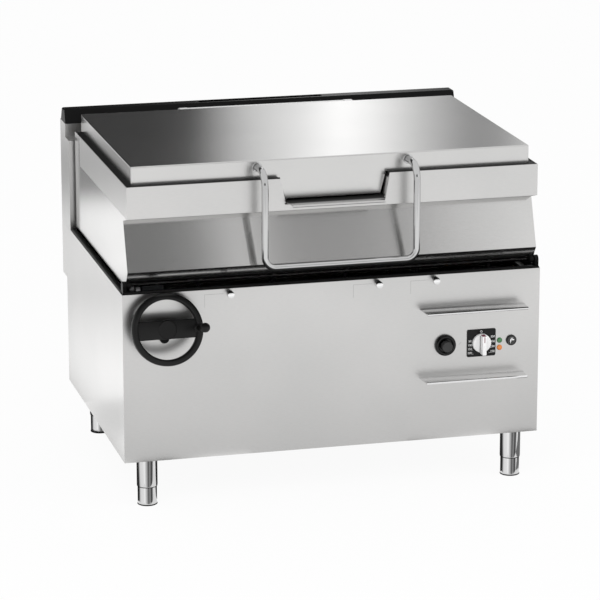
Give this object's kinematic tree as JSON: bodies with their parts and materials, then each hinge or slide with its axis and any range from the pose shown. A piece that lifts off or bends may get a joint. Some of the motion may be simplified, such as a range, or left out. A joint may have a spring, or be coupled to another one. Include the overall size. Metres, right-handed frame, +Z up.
{
  "type": "tilting bratt pan",
  "caption": "Free-standing commercial bratt pan: a rectangular lidded cooking vessel that tilts forward over its cabinet when a geared handwheel is turned, with a pouring spout and rear flue.",
  "frame": {"origin": "on the floor, under the centre of the bounding box of the whole machine at rest, feet screwed in", "axes": "+X to the right as seen from the front, +Y from the front panel to the back, +Z up"},
  "size_m": [1.2, 1.0466, 0.9647],
  "materials": {
    "aluminium_plate": "plain",
    "black_paint": "satin black paint",
    "black_plastic": "satin black",
    "black_rubber": "black seal rubber",
    "box_plastic": "grey",
    "brass_fitting": "plain brass",
    "bronze_bush": "plain bronze",
    "cast_housing": "painted cast iron",
    "frame_steel": "grey primed steel",
    "gear_steel": "machined steel",
    "green_lens": "green indicator lens",
    "grey_plastic": "dark grey",
    "orange_lens": "orange indicator lens",
    "polished_steel": "polished stainless",
    "satin_steel": "satin stainless sheet",
    "white_plastic": "white, slightly glossy"
  },
  "bodies": {
    "cabinet": {"front_panel": "satin_steel", "side_panel_left": "satin_steel", "side_panel_right": "satin_steel", "rear_panel": "satin_steel", "base_tray": "satin_steel", "cabinet_frame": "frame_steel", "rim_trim": "black_paint", "pivot_bearings": "black_paint", "leg_sockets": "polished_steel", "flue_column": "satin_steel", "flue_cap": "black_paint", "flue_duct": "satin_steel", "burner_tubes": "satin_steel", "burner_rails": "frame_steel", "heat_shield": "satin_steel", "gas_manifold": "frame_steel", "gas_valve": "brass_fitting", "gas_supply_pipe": "brass_fitting", "tilt_gearbox": "cast_housing", "shaft_flange": "black_paint", "igniter_bezel": "black_plastic", "igniter_body": "black_plastic", "power_lamp": "green_lens", "burner_lamp": "orange_lens", "water_switch": "black_plastic", "dial_plate": "black_plastic", "panel_studs": "polished_steel", "guard_rail_upper": "polished_steel", "guard_rail_lower": "polished_steel", "control_box": "box_plastic", "water_valve": "brass_fitting", "water_pipe": "brass_fitting"},
    "pan": {"pan_casing": "satin_steel", "rim_band": "satin_steel", "vessel": "satin_steel", "heating_plate": "aluminium_plate", "rim_gasket": "black_rubber", "spout": "satin_steel", "pan_underframe": "frame_steel", "pivot_ears": "gear_steel", "tilt_sector": "gear_steel", "hinge_tube": "polished_steel", "hinge_bushes": "bronze_bush", "balance_springs": "gear_steel"},
    "lid": {"lid_shell": "satin_steel", "lid_liner": "satin_steel", "lid_handle": "polished_steel", "hinge_arms": "satin_steel", "hinge_shaft": "gear_steel"},
    "wheel": {"handwheel": "black_plastic", "input_shaft": "gear_steel"},
    "grip": {"wheel_grip": "black_plastic"},
    "pinion": {"pinion": "gear_steel"},
    "knob": {"thermostat_knob": "white_plastic"},
    "ignition_button": {"ignition_button": "grey_plastic"},
    "water_button": {"water_button": "grey_plastic"},
    "foot_front_left": {"foot_front_left": "polished_steel"},
    "foot_front_right": {"foot_front_right": "polished_steel"},
    "foot_rear_left": {"foot_rear_left": "polished_steel"},
    "foot_rear_right": {"foot_rear_right": "polished_steel"}
  },
  "joints": [
    {"name": "pan_tilt", "type": "hinge", "parent": "cabinet", "child": "pan", "pos_m": [0, -0.36468, 0.635], "axis": [1, 0, 0], "range_deg": [0, 72]},
    {"name": "lid_hinge", "type": "hinge", "parent": "pan", "child": "lid", "pos_m": [0, 0.40332, 0.9286], "axis": [-1, 0, 0], "range_deg": [0, 80]},
    {"name": "handwheel_turn", "type": "hinge", "parent": "cabinet", "child": "wheel", "pos_m": [-0.4855, -0.42868, 0.5207], "axis": [0, 0.9659, -0.2588], "range_deg": [0, 4320]},
    {"name": "grip_spin", "type": "hinge", "parent": "wheel", "child": "grip", "pos_m": [-0.3975, -0.46732, 0.53105], "axis": [0, -0.9659, 0.2588], "continuous": true},
    {"name": "pinion_turn", "type": "hinge", "parent": "cabinet", "child": "pinion", "pos_m": [-0.545, -0.20167, 0.59436], "axis": [1, 0, 0], "range_deg": [-432, 0]},
    {"name": "knob_turn", "type": "hinge", "parent": "cabinet", "child": "knob", "pos_m": [0.4292, -0.39368, 0.4057], "axis": [0, 1, 0], "range_deg": [0, 270]},
    {"name": "ignition_push", "type": "slide", "parent": "cabinet", "child": "ignition_button", "axis": [0, 1, 0], "range_m": [0, 0.005], "stiffness_N_per_m": 900, "springref_m": -0.002},
    {"name": "water_push", "type": "slide", "parent": "cabinet", "child": "water_button", "axis": [0, 1, 0], "range_m": [0, 0.003], "stiffness_N_per_m": 700, "springref_m": -0.002},
    {"name": "foot_front_left_travel", "type": "slide", "parent": "cabinet", "child": "foot_front_left", "axis": [0, 0, -1], "range_m": [0, 0.03]},
    {"name": "foot_front_right_travel", "type": "slide", "parent": "cabinet", "child": "foot_front_right", "axis": [0, 0, -1], "range_m": [0, 0.03]},
    {"name": "foot_rear_left_travel", "type": "slide", "parent": "cabinet", "child": "foot_rear_left", "axis": [0, 0, -1], "range_m": [0, 0.03]},
    {"name": "foot_rear_right_travel", "type": "slide", "parent": "cabinet", "child": "foot_rear_right", "axis": [0, 0, -1], "range_m": [0, 0.03]}
  ],
  "couplings": [
    {"joint": "pinion_turn", "follows": "pan_tilt", "ratio": -6},
    {"joint": "handwheel_turn", "follows": "pan_tilt", "ratio": 60}
  ]
}
